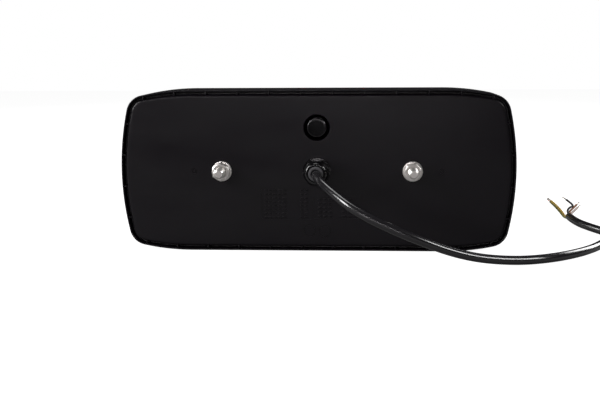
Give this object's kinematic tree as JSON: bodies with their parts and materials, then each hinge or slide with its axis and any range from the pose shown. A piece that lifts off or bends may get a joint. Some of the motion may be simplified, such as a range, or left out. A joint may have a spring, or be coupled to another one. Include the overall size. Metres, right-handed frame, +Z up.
{
  "type": "rear combination lamp",
  "caption": "Oblong LED rear lamp for a trailer, with a black housing, threaded mounting studs and nuts, a breather vent and a gland with a short stripped cable.",
  "frame": {"origin": "midway between the two mounting studs, in the plane of the housing's back face", "axes": "+X along the lamp's length, +Y out through the lens, so the studs point along -Y, +Z up"},
  "size_m": [0.4072, 0.2495, 0.129],
  "materials": {
    "housing_plastic": "satin black",
    "lens_amber": "gloss transparent amber",
    "lens_red": "gloss transparent red",
    "lens_clear": "gloss transparent clear",
    "sealant": "cured sealant",
    "metallised_plastic": "metallised reflector",
    "optic_clear": "clear moulded",
    "reflex_red": "prismatic red",
    "guide_red": "frosted red",
    "board": "white solder mask",
    "screw_steel": "zinc plated",
    "led_package": "moulded",
    "connector_plastic": "natural nylon",
    "chip_plastic": "moulded epoxy",
    "capacitor_can": "satin",
    "stud_steel": "bright plated",
    "seal_rubber": "matte",
    "vent_plastic": "satin black",
    "membrane": "matte",
    "gland_nylon": "semi-gloss black",
    "gland_rubber": "matte grey-black",
    "cable_pvc": "satin black",
    "copper": "tinned copper",
    "core_yellow": "satin",
    "core_green": "satin",
    "core_black": "satin",
    "core_brown": "satin",
    "core_white": "satin"
  },
  "bodies": {
    "lamp": {"rear_housing": "housing_plastic", "lens_amber": "lens_amber", "lens_red": "lens_red", "lens_clear": "lens_clear", "lens_sealant": "sealant", "inner_bezel": "metallised_plastic", "indicator_optic": "optic_clear", "stop_optic": "optic_clear", "reverse_optic": "optic_clear", "reflex_reflector": "reflex_red", "tail_light_guide": "guide_red", "circuit_board": "board", "board_screws": "screw_steel", "amber_leds": "led_package", "stop_leds": "led_package", "reverse_leds": "led_package", "tail_leds": "led_package", "board_header": "connector_plastic", "wire_plug": "connector_plastic", "regulator_chips": "chip_plastic", "power_resistors": "chip_plastic", "smoothing_capacitor": "capacitor_can", "surge_diode": "chip_plastic", "mounting_studs": "stud_steel", "stud_seal_rings": "seal_rubber", "vent_cap": "vent_plastic", "vent_membrane": "membrane", "vent_seal_ring": "seal_rubber", "gland_gasket": "seal_rubber", "gland_body": "gland_nylon", "gland_locknut": "gland_nylon", "gland_seal": "gland_rubber", "gland_claw": "gland_nylon", "cable_jacket": "cable_pvc", "cable_entry": "cable_pvc", "conductor_strands": "copper", "core_yellow": "core_yellow", "inner_lead_yellow": "core_yellow", "core_green": "core_green", "inner_lead_green": "core_green", "core_black": "core_black", "inner_lead_black": "core_black", "core_brown": "core_brown", "inner_lead_brown": "core_brown", "core_white": "core_white", "inner_lead_white": "core_white"},
    "left_washer": {"left_washer": "stud_steel"},
    "left_nut": {"left_nut": "stud_steel"},
    "right_washer": {"right_washer": "stud_steel"},
    "right_nut": {"right_nut": "stud_steel"},
    "gland_ring": {"gland_pressure_ring": "gland_nylon"},
    "gland_cap": {"gland_cap": "gland_nylon"}
  },
  "joints": [
    {"name": "left_washer_travel", "type": "slide", "parent": "lamp", "child": "left_washer", "axis": [0, -1, 0], "range_m": [0, 0.0194]},
    {"name": "left_nut_spin", "type": "hinge", "parent": "left_washer", "child": "left_nut", "pos_m": [-0.076, 0, 0], "axis": [0, -1, 0], "range_deg": [0, 5580]},
    {"name": "right_washer_travel", "type": "slide", "parent": "lamp", "child": "right_washer", "axis": [0, -1, 0], "range_m": [0, 0.0194]},
    {"name": "right_nut_spin", "type": "hinge", "parent": "right_washer", "child": "right_nut", "pos_m": [0.076, 0, 0], "axis": [0, -1, 0], "range_deg": [0, 5580]},
    {"name": "gland_ring_travel", "type": "slide", "parent": "lamp", "child": "gland_ring", "axis": [0, -1, 0], "range_m": [0, 0.0075]},
    {"name": "gland_cap_spin", "type": "hinge", "parent": "gland_ring", "child": "gland_cap", "pos_m": [0, 0, 0], "axis": [0, -1, 0], "range_deg": [0, 1800]}
  ],
  "couplings": [
    {"joint": "left_washer_travel", "follows": "left_nut_spin", "m_per_rad": 0.00019894},
    {"joint": "right_washer_travel", "follows": "right_nut_spin", "m_per_rad": 0.00019894},
    {"joint": "gland_ring_travel", "follows": "gland_cap_spin", "m_per_rad": 0.00023873}
  ]
}
